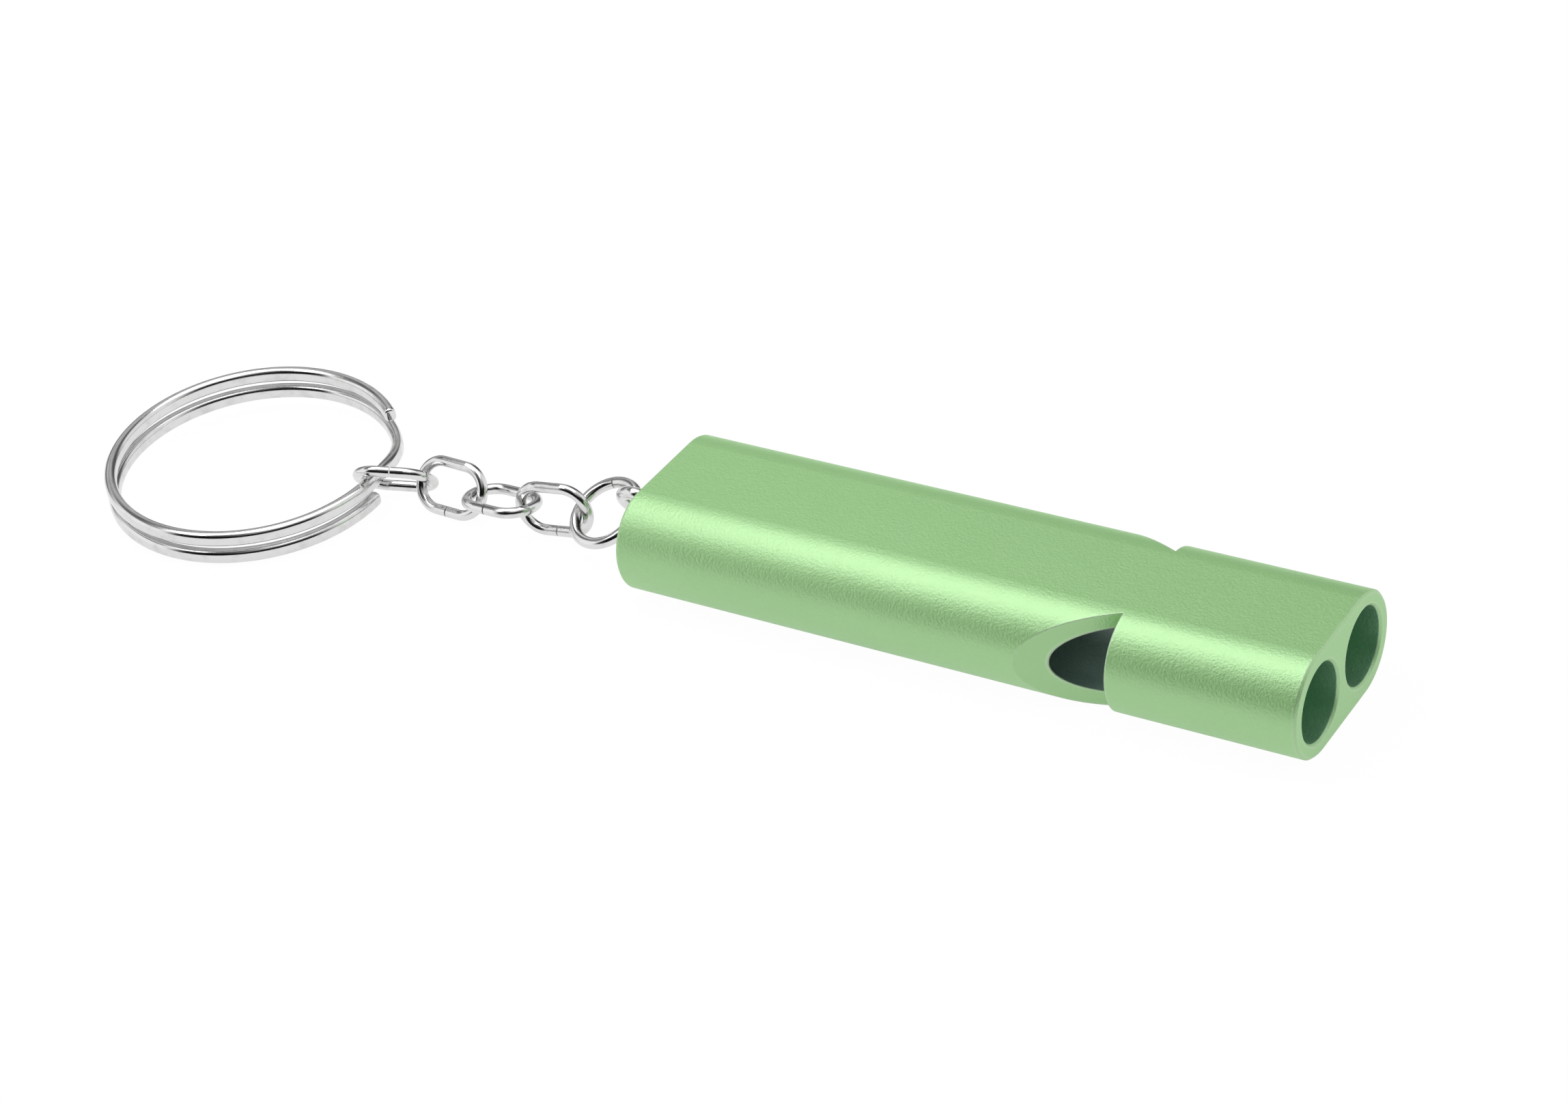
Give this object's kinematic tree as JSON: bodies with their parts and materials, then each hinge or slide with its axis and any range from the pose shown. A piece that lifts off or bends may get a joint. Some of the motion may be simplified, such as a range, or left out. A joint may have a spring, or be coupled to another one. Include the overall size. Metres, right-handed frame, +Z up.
{
  "type": "survival whistle",
  "caption": "Flat double-tube aluminium whistle with ramped side windows and windway plugs, on a short steel chain of oval links that ends in a split ring.",
  "frame": {"origin": "middle of the whistle body's flat underside", "axes": "+X along the whistle towards its mouth, +Z up from the underside, so +Y is the far narrow side in the picture"},
  "size_m": [0.1101, 0.025, 0.0085],
  "materials": {
    "anodised_green": "satin green anodised",
    "plug_green": "turned, green anodised",
    "nickel_wire": "bright nickel plated steel wire"
  },
  "bodies": {
    "whistle": {"whistle_body": "anodised_green", "near_windway_plug": "plug_green", "far_windway_plug": "plug_green", "tail_eye": "nickel_wire"},
    "jump_ring": {"jump_ring": "nickel_wire"},
    "link_1": {"chain_link_1": "nickel_wire"},
    "link_2": {"chain_link_2": "nickel_wire"},
    "link_3": {"chain_link_3": "nickel_wire"},
    "link_4": {"chain_link_4": "nickel_wire"},
    "split_ring": {"split_ring": "nickel_wire"}
  },
  "joints": [
    {"name": "jump_ring_swing", "type": "hinge", "parent": "whistle", "child": "jump_ring", "pos_m": [-0.03335, 0, 0.00425], "axis": [0, 0.5, -0.866], "range_deg": [-25, 85]},
    {"name": "link_1_swing", "type": "hinge", "parent": "jump_ring", "child": "link_1", "pos_m": [-0.03728, -0.00135, 0.00284], "axis": [0.1319, -0.9051, -0.4043], "range_deg": [-70, 70]},
    {"name": "link_2_swing", "type": "hinge", "parent": "link_1", "child": "link_2", "pos_m": [-0.04253, -0.00185, 0.00251], "axis": [-0.0913, 0.0446, 0.9948], "range_deg": [-70, 70]},
    {"name": "link_3_swing", "type": "hinge", "parent": "link_2", "child": "link_3", "pos_m": [-0.0478, -0.0014, 0.00215], "axis": [0.0808, 0.9816, -0.1732], "range_deg": [-70, 70]},
    {"name": "link_4_swing", "type": "hinge", "parent": "link_3", "child": "link_4", "pos_m": [-0.0531, -0.00123, 0.00219], "axis": [0.018, 0.5147, 0.8572], "range_deg": [-70, 70]},
    {"name": "split_ring_swing", "type": "hinge", "parent": "link_4", "child": "split_ring", "pos_m": [-0.0566, -0.00287, 0.00257], "axis": [0.1038, -0.9943, -0.0262], "range_deg": [-20, 80]}
  ]
}
